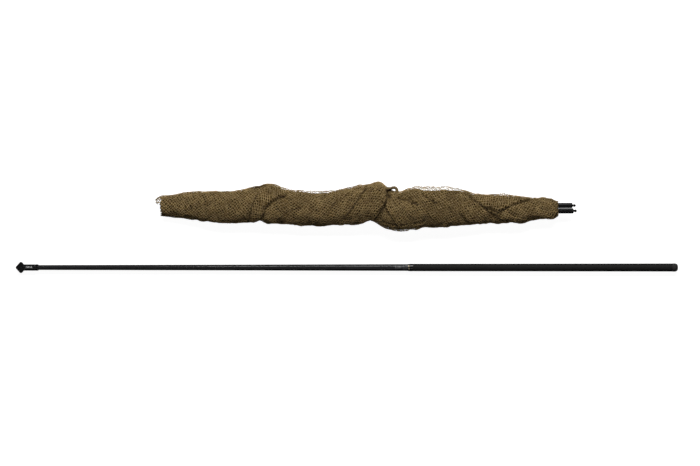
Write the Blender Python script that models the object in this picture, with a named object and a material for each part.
"""A carp landing net, packed for carrying: a six-foot handle with its spreader block screwed
on, and beside it the net head, whose mesh is rolled up round its two arms.

Frame: +X runs from the spreader block to the butt, +Y from the handle to the net head, and
+Z up. The origin is on the ground, at the middle of the footprint. All lengths are in metres.
"""

import math

import bmesh
import bpy
from mathutils import Matrix, Vector

# ---- Fits ----
GAP = 0.0003  # between pieces that touch or are glued
SIDES = 28  # round pieces
SMALL_SIDES = 20  # round pieces under 12 mm across

# ---- Handle, along X ----
HANDLE_LENGTH = 1.829  # six feet, from the block's nose to the butt
HANDLE_Y = -0.1097
NOSE_X = -HANDLE_LENGTH / 2
BUTT_X = HANDLE_LENGTH / 2
BUTT_RADIUS = 0.0115
HANDLE_Z = BUTT_RADIUS  # the butt cap and the block both rest on the ground

POLE_TIP_X = -0.8570
POLE_END_X = 0.9100
POLE_TIP_RADIUS = 0.00675
POLE_WAIST = (-0.45, 0.0077)  # x and radius where the taper quickens
POLE_GRIP_RADIUS = 0.0095  # where the grip starts
POLE_BUTT_RADIUS = 0.0103
POLE_WALL = 0.0012

TRIM_RING_X = (0.1699, 0.1726)
TRIM_RING_RADIUS = 0.0101
CHECK_X = (0.1729, 0.1824)  # the glossy winding check in front of the grip
CHECK_RADIUS = 0.0104
GRIP_X = (0.1827, 0.8985)
GRIP_RADIUS = (0.0103, 0.0112)
GRIP_LIP = 0.0002  # how much each end of the sleeve is rounded down
BUTT_CAP_X = (0.8988, BUTT_X)
BUTT_CAP_DOME_LENGTH = 0.0088
BUTT_CAP_FLAT_RADIUS = 0.0042
BUTT_CAP_DOME_STEPS = 6
BUTT_PLUG_LENGTH = 0.032

# ---- Threaded joint at the tip (3/8 BSF: 9.5 mm across, 1.27 mm pitch) ----
STUD_RADIUS = 0.0046
STUD_BORE_RADIUS = 0.00495
STUD_SPIGOT_RADIUS = 0.0050
STUD_SPIGOT_END_X = -0.8330
STUD_FRONT_X = -0.8752
TIP_FERRULE_X = (-0.8594, -0.8517)
TIP_FERRULE_RADIUS = 0.0088
WASHER_X = (-0.8620, -0.8597)
WASHER_RADIUS = 0.0086

# ---- Spreader block ----
BLOCK_REAR_X = -0.8623
BLOCK_NECK_RADIUS = 0.0087
BLOCK_SHOULDER_X = -0.8930
BLOCK_HALF_WIDTH = 0.01525
BLOCK_NOSE_HALF_WIDTH = 0.0015
BLOCK_SHOULDER_HALF_WIDTH = 0.0090
BLOCK_SIDE_LENGTH = 0.0034
BLOCK_EDGE = 0.0012
BLOCK_NECK_ROOT = 0.004  # how far the round neck runs on inside the head
INSERT_RADIUS = 0.0065
INSERT_FRONT_X = -0.8782
SOCKET_ANGLE = math.radians(42)  # each socket's axis, away from -X
SOCKET_RADIUS = 0.00405
SOCKET_DEPTH = 0.0095
SOCKET_OFFSET = 0.0099  # the socket mouth's centre, across from the handle's axis
LINER_RADIUS = 0.0052
LINER_LENGTH = 0.0072
PIN_X = -0.8995
PIN_RADIUS = 0.0012
PIN_LENGTH = 0.0160

# ---- Arms, 42 inches over all, lying side by side inside the roll ----
ARMS_Y = HANDLE_Y + 0.1638
ARMS_Z = 0.0270
ARM_SPACING = 0.0148
ARM_LENGTH = 1.067
ARM_BALL_ENDS_X = {"upper": 0.6316, "lower": 0.6345}
BALL_RADIUS = 0.0038
BALL_NECK_RADIUS = 0.0030
BALL_STEPS = 6
BALL_STUB_LENGTH = 0.0092  # from the ferrule's face to the ball's end
STUD_ROOT_LENGTH = 0.0100  # inside the ferrule
FERRULE_LENGTH = 0.0600
FERRULE_RADIUS = 0.0072
FERRULE_EDGE = 0.0014
ROD_ROOT_RADIUS = 0.0052
ROD_TIP_RADIUS = 0.0034
TIP_CAP_LENGTH = 0.0240
TIP_CAP_RADIUS = 0.0046
TIP_CAP_EYE_RADIUS = 0.0014
SLEEVE_X = (-0.4440, 0.5600)
SLEEVE_BORE_RADIUS = 0.0057
SLEEVE_RADIUS = 0.0065

# ---- Rolled mesh ----
# Stations along the roll: x, its low and high edge across from the arms' mid-line, and its top.
ROLL_STATIONS = (
    (-0.526, -0.017, 0.026, 0.027),
    (-0.490, -0.022, 0.031, 0.034),
    (-0.436, -0.028, 0.041, 0.043),
    (-0.370, -0.036, 0.047, 0.050),
    (-0.270, -0.039, 0.053, 0.056),
    (-0.215, -0.042, 0.062, 0.060),
    (-0.130, -0.047, 0.050, 0.058),
    (-0.050, -0.047, 0.044, 0.058),
    (0.026, -0.042, 0.060, 0.062),
    (0.060, -0.033, 0.065, 0.066),
    (0.088, -0.044, 0.072, 0.069),
    (0.126, -0.055, 0.058, 0.066),
    (0.148, -0.055, 0.050, 0.064),
    (0.190, -0.053, 0.060, 0.067),
    (0.258, -0.049, 0.054, 0.064),
    (0.325, -0.045, 0.046, 0.058),
    (0.424, -0.039, 0.036, 0.053),
    (0.495, -0.036, 0.028, 0.050),
    (0.548, -0.027, 0.026, 0.047),
    (0.584, -0.019, 0.021, 0.043),
)
ROLL_SINK = 0.004  # how far the round section would reach below the ground it lies flat on
ROLL_STEP = 0.0185
ROLL_SIDES = 30
ROLL_FOLDS = 3  # lobes of the rolled cloth round its section
ROLL_FOLD_PITCH = 0.62  # length along which the lobes wind once round
ROLL_FOLD_DEPTH = 0.0014
ROLL_END_ROUNDING = ((0.0, 0.52), (0.004, 0.80), (0.012, 0.95))  # inset from the end, scale
CHANNEL_RADIUS = 0.0077
CHANNEL_ARC_STEPS = 12
CHANNEL_END_X = -0.4480

# ---- Finishes: colour, roughness, metallic ----
CARBON = ((0.012, 0.012, 0.013), 0.32, 0.0)
BLACK_ANODISED = ((0.020, 0.020, 0.022), 0.38, 0.9)
BLACK_NYLON = ((0.016, 0.016, 0.017), 0.45, 0.0)
BLACK_RUBBER = ((0.018, 0.018, 0.018), 0.80, 0.0)
GRIP_RUBBER = ((0.022, 0.022, 0.023), 0.85, 0.0)
BRASS = ((0.62, 0.46, 0.20), 0.35, 1.0)
STEEL = ((0.55, 0.55, 0.56), 0.30, 1.0)
OLIVE_MESH = ((0.105, 0.075, 0.032), 0.90, 0.0)
OLIVE_TAPE = ((0.070, 0.055, 0.028), 0.90, 0.0)


def clear_scene():
    for old in list(bpy.data.objects):
        bpy.data.objects.remove(old, do_unlink=True)


def add_object(name, mesh, parent=None, place=(0, 0, 0)):
    made = bpy.data.objects.new(name, mesh)
    bpy.context.scene.collection.objects.link(made)
    made.parent = parent
    made.location = place
    return made


def add_empty(name, place, parent=None):
    """A joint's place: what it carries is parented to it."""
    made = add_object(name, None, parent, place)
    made.empty_display_size = 0.02
    return made


def finish(part, look):
    """Gives a piece its own material and smooth shading with crisp edges."""
    colour, roughness, metallic = look
    made = bpy.data.materials.new(part.name)
    made.use_nodes = True
    made.diffuse_color = (*colour, 1)
    shader = made.node_tree.nodes["Principled BSDF"]
    shader.inputs["Base Color"].default_value = (*colour, 1)
    shader.inputs["Roughness"].default_value = roughness
    shader.inputs["Metallic"].default_value = metallic
    part.data.materials.append(made)
    part.data.shade_smooth()
    part.data.set_sharp_from_angle(angle=math.radians(32))
    return part


def mesh_of(name, points, faces):
    mesh = bpy.data.meshes.new(name)
    mesh.from_pydata([tuple(point) for point in points], [], faces)
    mesh.update()
    return mesh


def skin_rings(rings, closed=False):
    """Points and outward faces through rings of points, each counted round +X and listed along
    it. A ring of one point is a pole, nothing joins two poles, and closed joins the last ring to
    the first."""
    points = []
    numbered = []
    for ring in rings:
        numbered.append(range(len(points), len(points) + len(ring)))
        points += ring
    sides = max(len(ring) for ring in rings)
    following = numbered[1:] + numbered[:1] if closed else numbered[1:]
    faces = []
    for low, high in zip(numbered, following):
        if len(low) == len(high) == 1:
            continue
        for i in range(sides):
            j = (i + 1) % sides
            corners = [low[i % len(low)], low[j % len(low)]]
            corners += [high[j % len(high)], high[i % len(high)]]
            faces.append(list(dict.fromkeys(corners)))
    return points, faces


def turned_mesh(name, outline, sides=SIDES, closed=False):
    """A turned shape on the X axis. outline is (x, radius) pairs that run along the outside
    from -X to +X; radius 0 is on the axis, and a closed outline returns along the bore."""

    def ring(x, radius):
        if radius == 0:
            return [Vector((x, 0, 0))]
        turns = [2 * math.pi * (i + 0.5) / sides for i in range(sides)]
        return [Vector((x, radius * math.cos(a), radius * math.sin(a))) for a in turns]

    return mesh_of(name, *skin_rings([ring(*pair) for pair in outline], closed))


def tube(x_low, x_high, radius, bore):
    """The outline of a plain tube."""
    return [(x_low, radius), (x_high, radius), (x_high, bore), (x_low, bore)]


def rod(x_low, x_high, radius):
    """The outline of a plain solid cylinder."""
    return [(x_low, 0), (x_low, radius), (x_high, radius), (x_high, 0)]


def combine(part, other, operation):
    """Adds a Boolean of part with other, which is kept as a hidden helper."""
    other.hide_render = True
    other.display_type = "WIRE"
    boolean = part.modifiers.new(f"{operation.lower()} {other.name}", "BOOLEAN")
    boolean.operation = operation
    boolean.solver = "EXACT"
    boolean.object = other


def helper(name, mesh, parent, place=(0, 0, 0), turn_z=0.0):
    made = add_object(name, mesh, parent, place)
    made.rotation_euler.z = turn_z
    return made


def pole_radius(x):
    """The blank's outside: a slow taper, a quicker one up to the grip, and a slow one under it."""
    profile = ((POLE_TIP_X, POLE_TIP_RADIUS), POLE_WAIST)
    profile += ((GRIP_X[0], POLE_GRIP_RADIUS), (POLE_END_X, POLE_BUTT_RADIUS))
    for (low, low_radius), (high, high_radius) in zip(profile, profile[1:]):
        if x <= high:
            break
    return low_radius + (x - low) / (high - low) * (high_radius - low_radius)


def make_pole(axis):
    stations = [POLE_TIP_X, POLE_WAIST[0], GRIP_X[0], POLE_END_X]
    outside = [(x, pole_radius(x)) for x in stations]
    inside = [(x, pole_radius(x) - POLE_WALL) for x in reversed(stations)]
    blank = turned_mesh("pole_blank", outside + inside, closed=True)
    finish(add_object("pole_blank", blank, axis), CARBON)


def make_fittings_before_grip(axis):
    low, high = TRIM_RING_X
    trim = tube(low, high, TRIM_RING_RADIUS, pole_radius(high) + GAP)
    finish(add_object("trim_ring", turned_mesh("trim_ring", trim, closed=True), axis), BRASS)

    low, high = CHECK_X
    bore = pole_radius(high) + GAP
    check = [
        (low, CHECK_RADIUS - 0.0004),
        (low + 0.0006, CHECK_RADIUS),
        (high, CHECK_RADIUS),
        (high, bore),
        (low, bore),
    ]
    mesh = turned_mesh("winding_check", check, closed=True)
    finish(add_object("winding_check", mesh, axis), BLACK_ANODISED)


def make_grip(axis):
    low, high = GRIP_X
    outline = [
        (low, GRIP_RADIUS[0] - GRIP_LIP),
        (low + 0.001, GRIP_RADIUS[0]),
        (high - 0.001, GRIP_RADIUS[1]),
        (high, GRIP_RADIUS[1] - GRIP_LIP),
        (high, pole_radius(high) + GAP),
        (low, pole_radius(low) + GAP),
    ]
    mesh = turned_mesh("grip_sleeve", outline, closed=True)
    finish(add_object("grip_sleeve", mesh, axis), GRIP_RUBBER)


def make_butt(axis):
    """A plug closes the blank, and a soft cup goes over both."""
    bore = pole_radius(POLE_END_X) - POLE_WALL
    low = POLE_END_X - BUTT_PLUG_LENGTH
    plug = turned_mesh("butt_plug", rod(low, POLE_END_X, bore - 0.0005), SMALL_SIDES)
    finish(add_object("butt_plug", plug, axis), BLACK_NYLON)

    low, high = BUTT_CAP_X
    floor = POLE_END_X + GAP
    cup = POLE_BUTT_RADIUS + GAP
    rise = BUTT_RADIUS - BUTT_CAP_FLAT_RADIUS
    dome = []
    for step in range(BUTT_CAP_DOME_STEPS + 1):
        turn = math.pi / 2 * step / BUTT_CAP_DOME_STEPS
        x = high - BUTT_CAP_DOME_LENGTH * (1 - math.sin(turn))
        dome.append((x, BUTT_RADIUS - rise * (1 - math.cos(turn))))
    outline = [(low, BUTT_RADIUS - 0.0003), (low + 0.0008, BUTT_RADIUS)] + dome
    outline += [(high, 0), (floor, 0), (floor, cup), (low, cup)]
    cap = turned_mesh("butt_cap", outline, closed=True)
    finish(add_object("butt_cap", cap, axis), BLACK_RUBBER)


def make_tip_joint(axis):
    """The stud in the pole's tip, and the ferrule that covers the end of the blank."""
    step = POLE_TIP_X + GAP
    stud = [
        (STUD_FRONT_X, 0),
        (STUD_FRONT_X, STUD_RADIUS - 0.0006),
        (STUD_FRONT_X + 0.0006, STUD_RADIUS),
        (step, STUD_RADIUS),
        (step, STUD_SPIGOT_RADIUS),
        (STUD_SPIGOT_END_X, STUD_SPIGOT_RADIUS),
        (STUD_SPIGOT_END_X, 0),
    ]
    mesh = turned_mesh("tip_stud", stud, SMALL_SIDES)
    finish(add_object("tip_stud", mesh, axis), STEEL)

    low, high = TIP_FERRULE_X
    ledge = POLE_TIP_X - GAP
    bore = pole_radius(high) + GAP
    ferrule = [
        (low, TIP_FERRULE_RADIUS),
        (high - 0.0030, TIP_FERRULE_RADIUS),
        (high, TIP_FERRULE_RADIUS - 0.0009),
        (high, bore),
        (ledge, bore),
        (ledge, STUD_BORE_RADIUS),
        (low, STUD_BORE_RADIUS),
    ]
    mesh = turned_mesh("tip_ferrule", ferrule, closed=True)
    finish(add_object("tip_ferrule", mesh, axis), BLACK_ANODISED)


def make_washer(carrier):
    low, high = (x - WASHER_X[1] for x in WASHER_X)
    outline = tube(low, high, WASHER_RADIUS, STUD_BORE_RADIUS)
    mesh = turned_mesh("anti_twist_washer", outline, closed=True)
    finish(add_object("anti_twist_washer", mesh, carrier), BLACK_RUBBER)


def block_head_mesh():
    """The head, flat above and below, with a slanted face on each side for an arm's socket."""
    face_run = (BLOCK_HALF_WIDTH - BLOCK_NOSE_HALF_WIDTH) * math.tan(SOCKET_ANGLE)
    corner_x = NOSE_X + face_run
    side = [
        (NOSE_X, BLOCK_NOSE_HALF_WIDTH),
        (corner_x, BLOCK_HALF_WIDTH),
        (corner_x + BLOCK_SIDE_LENGTH, BLOCK_HALF_WIDTH),
        (BLOCK_SHOULDER_X, BLOCK_SHOULDER_HALF_WIDTH),
    ]
    outline = [(x, -y) for x, y in side] + [(x, y) for x, y in reversed(side)]
    body = bmesh.new()
    floor = [body.verts.new((x - BLOCK_REAR_X, y, -HANDLE_Z)) for x, y in outline]
    body.faces.new(floor)
    grown = bmesh.ops.extrude_face_region(body, geom=body.faces[:])
    risen = [item for item in grown["geom"] if isinstance(item, bmesh.types.BMVert)]
    bmesh.ops.translate(body, verts=risen, vec=(0, 0, 2 * HANDLE_Z))
    bmesh.ops.recalc_face_normals(body, faces=body.faces[:])
    mesh = bpy.data.meshes.new("spreader_block")
    body.to_mesh(mesh)
    body.free()
    return mesh


def socket_frame(side):
    """The centre of a socket's mouth, from the block's rear, and its turn about Z: the socket's
    local +X runs into the block. side is +1 on the net's side and -1 on the other."""
    mouth_run = (SOCKET_OFFSET - BLOCK_NOSE_HALF_WIDTH) * math.tan(SOCKET_ANGLE)
    place = (NOSE_X + mouth_run - BLOCK_REAR_X, side * SOCKET_OFFSET, 0)
    return place, -side * SOCKET_ANGLE


def make_block(turn_axis):
    block = add_object("spreader_block", block_head_mesh(), turn_axis)
    edge = block.modifiers.new("edge", "BEVEL")
    edge.width = BLOCK_EDGE
    edge.segments = 2

    neck_low = BLOCK_SHOULDER_X - BLOCK_NECK_ROOT - BLOCK_REAR_X
    neck = turned_mesh("block_neck", rod(neck_low, 0, BLOCK_NECK_RADIUS), 32)
    combine(block, helper("block_neck", neck, turn_axis), "UNION")

    front = INSERT_FRONT_X - GAP - BLOCK_REAR_X
    pocket = turned_mesh("insert_pocket", rod(front, 0.002, INSERT_RADIUS + GAP))
    combine(block, helper("insert_pocket", pocket, turn_axis), "DIFFERENCE")

    for name, side in (("upper", 1), ("lower", -1)):
        place, turn = socket_frame(side)
        pocket_end = LINER_LENGTH + GAP
        steps = [(-0.003, 0), (-0.003, LINER_RADIUS + GAP), (pocket_end, LINER_RADIUS + GAP)]
        steps += [(pocket_end, SOCKET_RADIUS), (SOCKET_DEPTH, SOCKET_RADIUS), (SOCKET_DEPTH, 0)]
        cutter = turned_mesh(f"socket_cutter_{name}", steps, 24)
        hollow = helper(f"socket_cutter_{name}", cutter, turn_axis, place, turn)
        combine(block, hollow, "DIFFERENCE")
        make_liner(name, turn_axis, place, turn)

    pin_top = HANDLE_Z - GAP
    pin = turned_mesh("block_pin", rod(0, PIN_LENGTH, PIN_RADIUS), 16)
    standing = Matrix.Rotation(math.radians(90), 4, "Y")
    pin.transform(standing)
    pin_place = (PIN_X - BLOCK_REAR_X, 0, pin_top)
    finish(add_object("block_pin", pin, turn_axis, pin_place), STEEL)
    hole = turned_mesh("pin_hole", rod(-0.002, PIN_LENGTH + GAP, PIN_RADIUS + GAP), 16)
    hole.transform(standing)
    combine(block, helper("pin_hole", hole, turn_axis, pin_place), "DIFFERENCE")
    finish(block, BLACK_NYLON)


def make_liner(name, turn_axis, place, turn):
    """The bush that an arm's ball clicks into."""
    outline = [
        (0, LINER_RADIUS),
        (LINER_LENGTH, LINER_RADIUS),
        (LINER_LENGTH, SOCKET_RADIUS),
        (0.0006, SOCKET_RADIUS),
        (0, SOCKET_RADIUS + 0.0005),
    ]
    mesh = turned_mesh(f"socket_liner_{name}", outline, 24, closed=True)
    liner = add_object(f"socket_liner_{name}", mesh, turn_axis, place)
    liner.rotation_euler.z = turn
    finish(liner, STEEL)


def make_block_insert(turn_axis):
    low = INSERT_FRONT_X - BLOCK_REAR_X
    outline = tube(low, -GAP, INSERT_RADIUS, STUD_BORE_RADIUS)
    mesh = turned_mesh("block_thread_insert", outline, closed=True)
    finish(add_object("block_thread_insert", mesh, turn_axis), BRASS)


def make_arm(name, slide_axis):
    """One arm, ball first: stud, ferrule, rod and tip cap on one line along X."""
    ball_end = ARM_BALL_ENDS_X[name]
    face = ball_end - BALL_STUB_LENGTH
    root = face - STUD_ROOT_LENGTH
    centre = ball_end - BALL_RADIUS
    neck_meets = math.asin(BALL_NECK_RADIUS / BALL_RADIUS)
    ball = []
    for step in range(BALL_STEPS + 1):
        turn = (math.pi - neck_meets) * (1 - step / BALL_STEPS)
        ball.append((centre + BALL_RADIUS * math.cos(turn), BALL_RADIUS * math.sin(turn)))
    ball[-1] = (ball_end, 0)
    stud = [(root, 0), (root, BALL_NECK_RADIUS)] + ball
    mesh = turned_mesh(f"ball_stud_{name}", stud, SMALL_SIDES)
    finish(add_object(f"ball_stud_{name}", mesh, slide_axis), STEEL)

    rear = face - FERRULE_LENGTH
    rod_end = root - 0.0020
    hole = BALL_NECK_RADIUS + GAP
    seat = ROD_ROOT_RADIUS + GAP
    ferrule = [
        (rear, FERRULE_RADIUS - 0.0004),
        (rear + 0.0012, FERRULE_RADIUS),
        (face - FERRULE_EDGE, FERRULE_RADIUS),
        (face, FERRULE_RADIUS - FERRULE_EDGE),
        (face, hole),
        (root - GAP, hole),
        (root - GAP, seat),
        (rear, seat),
    ]
    mesh = turned_mesh(f"arm_ferrule_{name}", ferrule, closed=True)
    finish(add_object(f"arm_ferrule_{name}", mesh, slide_axis), BLACK_ANODISED)

    tip = ball_end - ARM_LENGTH
    seat_floor = tip + 0.0080
    taper = [(seat_floor + GAP, 0), (seat_floor + GAP, ROD_TIP_RADIUS)]
    taper += [(rear - 0.01, ROD_ROOT_RADIUS), (rod_end, ROD_ROOT_RADIUS), (rod_end, 0)]
    mesh = turned_mesh(f"arm_rod_{name}", taper, SMALL_SIDES)
    finish(add_object(f"arm_rod_{name}", mesh, slide_axis), CARBON)

    mouth = tip + TIP_CAP_LENGTH
    seat = ROD_TIP_RADIUS + GAP + 0.0001
    nose = [(tip + TIP_CAP_RADIUS * (1 - math.cos(a)), TIP_CAP_RADIUS * math.sin(a))
            for a in (math.radians(30 * step) for step in range(4))]
    nose[0] = (tip, 0)
    cap = nose + [(mouth, TIP_CAP_RADIUS), (mouth, seat), (seat_floor, seat), (seat_floor, 0)]
    mesh = turned_mesh(f"arm_tip_cap_{name}", cap, SMALL_SIDES)
    tip_cap = finish(add_object(f"arm_tip_cap_{name}", mesh, slide_axis), BLACK_NYLON)
    eye_length = 2 * TIP_CAP_RADIUS + 0.004
    eye = turned_mesh(f"cord_eye_{name}", rod(0, eye_length, TIP_CAP_EYE_RADIUS), 12)
    eye.transform(Matrix.Rotation(math.radians(-90), 4, "Y"))
    place = (tip + 0.0045, 0, -eye_length / 2)
    combine(tip_cap, helper(f"cord_eye_{name}", eye, slide_axis, place), "DIFFERENCE")


def make_sleeve(name, head, offset):
    """The cloth sleeve in the mesh's edge that an arm slides through, closed at the tip."""
    low, high = SLEEVE_X
    end = low + 0.0012
    outline = [(low, 0), (low, SLEEVE_RADIUS), (high, SLEEVE_RADIUS)]
    outline += [(high, SLEEVE_BORE_RADIUS), (end, SLEEVE_BORE_RADIUS), (end, 0)]
    mesh = turned_mesh(f"arm_sleeve_{name}", outline, SMALL_SIDES)
    finish(add_object(f"arm_sleeve_{name}", mesh, head, (0, offset, 0)), OLIVE_TAPE)


def blend_stations(x):
    """The roll's low edge, high edge and top at x, on a smooth curve through the stations."""
    last = len(ROLL_STATIONS) - 1
    i = max(k for k in range(last) if ROLL_STATIONS[k][0] <= x or k == 0)
    before, start = ROLL_STATIONS[max(i - 1, 0)], ROLL_STATIONS[i]
    stop, after = ROLL_STATIONS[i + 1], ROLL_STATIONS[min(i + 2, last)]
    span = stop[0] - start[0]
    t = (x - start[0]) / span
    values = []
    for column in (1, 2, 3):
        rise_in = (stop[column] - before[column]) / (stop[0] - before[0]) * span
        rise_out = (after[column] - start[column]) / (after[0] - start[0]) * span
        values.append(
            (2 * t**3 - 3 * t**2 + 1) * start[column]
            + (t**3 - 2 * t**2 + t) * rise_in
            + (3 * t**2 - 2 * t**3) * stop[column]
            + (t**3 - t**2) * rise_out
        )
    return values


def roll_ring(x, scale):
    """One section of the roll, round above and flat where it lies on the ground."""
    low, high, top = blend_stations(x)
    middle = (low + high) / 2
    half_width = (high - low) / 2
    half_height = (top + ROLL_SINK) / 2
    ring = []
    for i in range(ROLL_SIDES):
        turn = 2 * math.pi * i / ROLL_SIDES
        winding = ROLL_FOLDS * (turn - 2 * math.pi * x / ROLL_FOLD_PITCH)
        fold = ROLL_FOLD_DEPTH * math.cos(winding)
        y = middle + scale * (half_width + fold) * math.cos(turn)
        z = top / 2 + scale * ((half_height + fold) * math.sin(turn) - ROLL_SINK / 2)
        ring.append(Vector((x, y, max(z, 0) - ARMS_Z)))
    return ring


def make_roll(head):
    first, last = ROLL_STATIONS[0][0], ROLL_STATIONS[-1][0]
    inset = ROLL_END_ROUNDING[-1][0] + 0.01
    count = round((last - first - 2 * inset) / ROLL_STEP)
    rings = [roll_ring(first + step, scale) for step, scale in ROLL_END_ROUNDING]
    for i in range(count + 1):
        x = first + inset + (last - first - 2 * inset) * i / count
        rings.append(roll_ring(x, 1.0))
    rings += [roll_ring(last - step, scale) for step, scale in reversed(ROLL_END_ROUNDING)]
    ends = [[sum(ring, Vector()) / len(ring)] for ring in (rings[0], rings[-1])]
    rings = [ends[0], *rings, ends[1]]
    roll = add_object("net_roll", mesh_of("net_roll", *skin_rings(rings)), head)

    # One oval channel holds both sleeves and the rear ends of both ferrules.
    channel = bmesh.new()
    half = ARM_SPACING / 2
    outline = []
    for centre, start in ((half, -math.pi / 2), (-half, math.pi / 2)):
        for step in range(CHANNEL_ARC_STEPS + 1):
            turn = start + math.pi * step / CHANNEL_ARC_STEPS
            outline.append((centre + CHANNEL_RADIUS * math.cos(turn), CHANNEL_RADIUS * math.sin(turn)))
    mouth = [channel.verts.new((CHANNEL_END_X, y, z)) for y, z in outline]
    channel.faces.new(mouth)
    grown = bmesh.ops.extrude_face_region(channel, geom=channel.faces[:])
    moved = [item for item in grown["geom"] if isinstance(item, bmesh.types.BMVert)]
    bmesh.ops.translate(channel, verts=moved, vec=(last + 0.01 - CHANNEL_END_X, 0, 0))
    bmesh.ops.recalc_face_normals(channel, faces=channel.faces[:])
    mesh = bpy.data.meshes.new("arm_channel")
    channel.to_mesh(mesh)
    channel.free()
    combine(roll, helper("arm_channel", mesh, head), "DIFFERENCE")
    finish(roll, OLIVE_MESH)


def main():
    clear_scene()
    handle = add_empty("handle_axis", (0, HANDLE_Y, HANDLE_Z))
    make_pole(handle)
    make_fittings_before_grip(handle)
    make_grip(handle)
    make_butt(handle)
    make_tip_joint(handle)

    screw = add_empty("screw_travel", (WASHER_X[1], 0, 0), handle)
    make_washer(screw)
    turn_axis = add_empty("block_turn", (BLOCK_REAR_X - WASHER_X[1], 0, 0), screw)
    make_block(turn_axis)
    make_block_insert(turn_axis)

    head = add_empty("net_head_lift", (0, ARMS_Y, ARMS_Z))
    make_roll(head)
    for name, side in (("upper", 1), ("lower", -1)):
        offset = side * ARM_SPACING / 2
        make_sleeve(name, head, offset)
        make_arm(name, add_empty(f"arm_slide_{name}", (0, offset, 0), head))


main()
